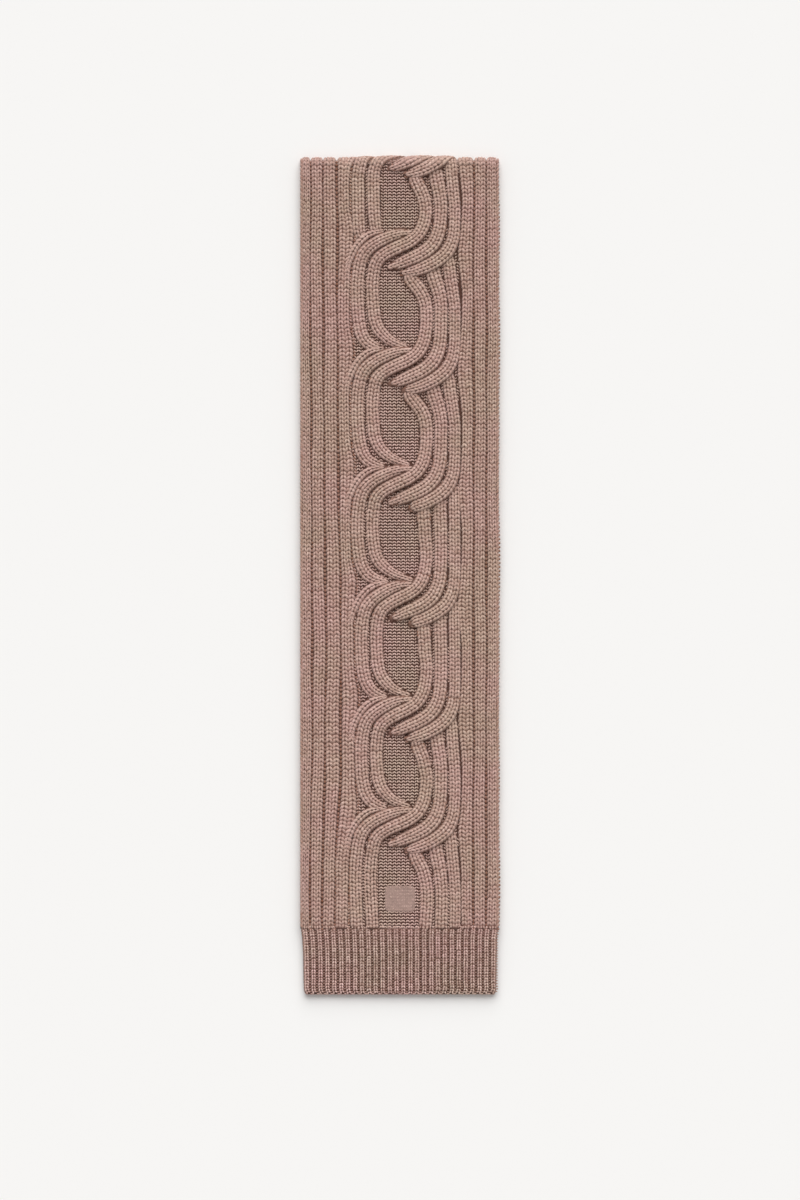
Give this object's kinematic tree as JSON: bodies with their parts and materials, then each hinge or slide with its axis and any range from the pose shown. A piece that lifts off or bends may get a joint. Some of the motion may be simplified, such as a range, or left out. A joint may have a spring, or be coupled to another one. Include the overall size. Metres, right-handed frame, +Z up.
{
  "type": "knit scarf",
  "caption": "Heavy cable-knit wool scarf, folded once across and laid flat, with straight side ribs, an open-window cable and a ribbed end welt.",
  "frame": {"origin": "centre of the folded scarf's outline, on the surface that it lies on", "axes": "+X across the scarf to the right in the picture, +Y along it towards the fold, +Z up out of the surface"},
  "size_m": [0.218, 0.92, 0.0168],
  "materials": {
    "cable_knit": "chunky heathered mauve-taupe wool, matt with soft fuzz",
    "welt_knit": "the same wool knitted in narrow firm ribs, matt",
    "patch_face": "smooth matt felted patch, a little paler and greyer than the wool"
  },
  "bodies": {
    "root": {"upper_body": "cable_knit", "fold": "cable_knit", "under_body": "cable_knit", "upper_hem": "welt_knit", "under_hem": "welt_knit", "patch": "patch_face"}
  },
  "joints": []
}
